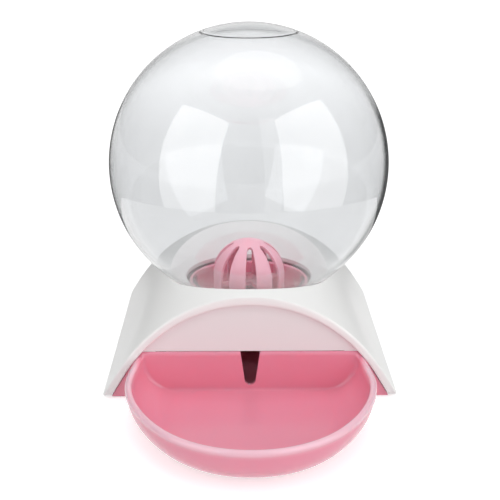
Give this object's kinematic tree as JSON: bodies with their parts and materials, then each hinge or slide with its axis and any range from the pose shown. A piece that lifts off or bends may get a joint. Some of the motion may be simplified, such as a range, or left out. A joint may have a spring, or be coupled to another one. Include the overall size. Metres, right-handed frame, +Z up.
{
  "type": "gravity pet water dispenser",
  "caption": "Gravity water dispenser for pets: a clear globe bottle with a spring valve stands upside down in a white arch and fills a pink drinking bowl in front.",
  "frame": {"origin": "on the floor under the middle of the bounding box", "axes": "+Z up along the globe's axis, +X to the right seen from the bowl, +Y from the bowl to the globe"},
  "size_m": [0.182, 0.2784, 0.216],
  "materials": {
    "clear_plastic": "clear, glossy",
    "pink_plastic": "moulded, semi-gloss",
    "white_plastic": "moulded, semi-gloss",
    "silicone": "matte",
    "rubber": "matte",
    "steel": "drawn wire"
  },
  "bodies": {
    "tray": {"bowl_tray": "pink_plastic", "tray_pad_front": "rubber", "tray_pad_bowl_left": "rubber", "tray_pad_bowl_right": "rubber", "tray_pad_rear_left": "rubber", "tray_pad_rear_right": "rubber"},
    "arch": {"arch_shell": "white_plastic", "front_panel": "white_plastic", "rear_panel": "white_plastic", "shell_foot_front_left": "rubber", "shell_foot_front_right": "rubber", "shell_foot_rear_left": "rubber", "shell_foot_rear_right": "rubber"},
    "globe": {"globe_bottle": "clear_plastic"},
    "cap": {"screw_cap": "pink_plastic", "cap_gasket": "silicone", "strainer_cage": "pink_plastic", "valve_spring": "steel"},
    "valve": {"valve_plunger": "pink_plastic", "valve_seal": "silicone"}
  },
  "joints": [
    {"name": "arch_lift", "type": "slide", "parent": "tray", "child": "arch", "axis": [0, 0, 1], "range_m": [0, 0.12]},
    {"name": "globe_lift", "type": "slide", "parent": "arch", "child": "globe", "axis": [0, 0, 1], "range_m": [0, 0.12]},
    {"name": "cap_twist", "type": "hinge", "parent": "globe", "child": "cap", "pos_m": [0, 0.04925, 0.025], "axis": [0, 0, -1], "range_deg": [0, 45]},
    {"name": "valve_slide", "type": "slide", "parent": "cap", "child": "valve", "axis": [0, 0, 1], "range_m": [-0.0045, 0], "deforming": ["valve_spring"]}
  ],
  "couplings": [
    {"joint": "valve_slide", "follows": "globe_lift", "ratio": -0.0375}
  ]
}
